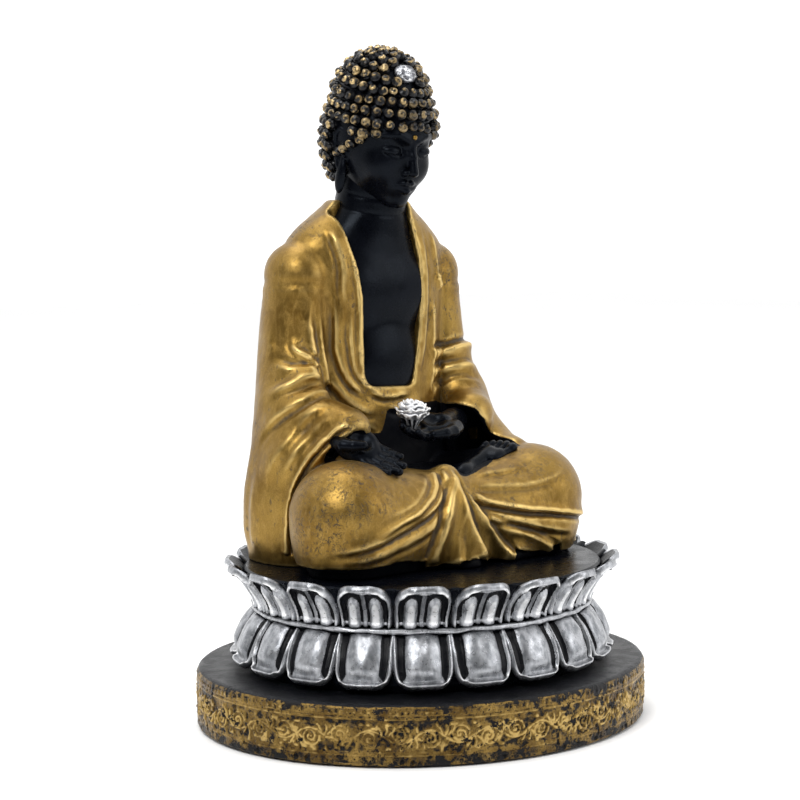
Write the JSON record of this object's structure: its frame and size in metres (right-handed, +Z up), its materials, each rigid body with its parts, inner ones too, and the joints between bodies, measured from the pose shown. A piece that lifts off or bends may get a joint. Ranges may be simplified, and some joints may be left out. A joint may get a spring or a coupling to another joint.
{
  "type": "seated buddha statue",
  "caption": "Seated robed buddha statue on a lotus throne and oval plinth, holding a small flower in one hand; free-standing shelf or altar ornament.",
  "frame": {"origin": "centre of the oval footprint, at the face the statue rests on", "axes": "+Z up; the statue faces -Y; its own left side is +X"},
  "size_m": [0.18, 0.155, 0.252],
  "materials": {
    "black_paint": "satin black paint on cast resin",
    "gold_paint": "brushed antique gold paint over black, on cast resin",
    "antique_gold_paint": "rubbed antique gold paint over black, on cast resin",
    "silver_paint": "brushed silver paint on cast resin",
    "bronze_paint": "dry-brushed bronze paint over black, on cast resin",
    "felt": "matt felt"
  },
  "bodies": {
    "root": {"felt_sheet": "felt", "plinth": "antique_gold_paint", "throne_core": "black_paint", "waist_band": "silver_paint", "seat_disc": "black_paint", "upper_petals": "silver_paint", "lower_petals": "silver_paint", "inner_petal_tips": "black_paint", "chest_body": "black_paint", "right_leg_drape": "gold_paint", "left_leg_drape": "gold_paint", "lap_core": "black_paint", "front_pleats": "gold_paint", "robe_hem": "gold_paint", "robe_body": "gold_paint", "collar_right": "gold_paint", "collar_left": "gold_paint", "waist_wrap": "gold_paint", "right_sleeve": "gold_paint", "left_sleeve": "gold_paint", "right_hand": "black_paint", "left_hand": "black_paint", "right_foot": "black_paint", "neck": "black_paint", "head": "black_paint", "hair_cap": "black_paint", "hair_crown": "black_paint", "hair_curls": "bronze_paint", "hair_jewel": "silver_paint", "brow_dot": "gold_paint", "flower_calyx": "silver_paint", "flower_heart": "silver_paint", "flower_petals": "silver_paint"}
  },
  "joints": []
}
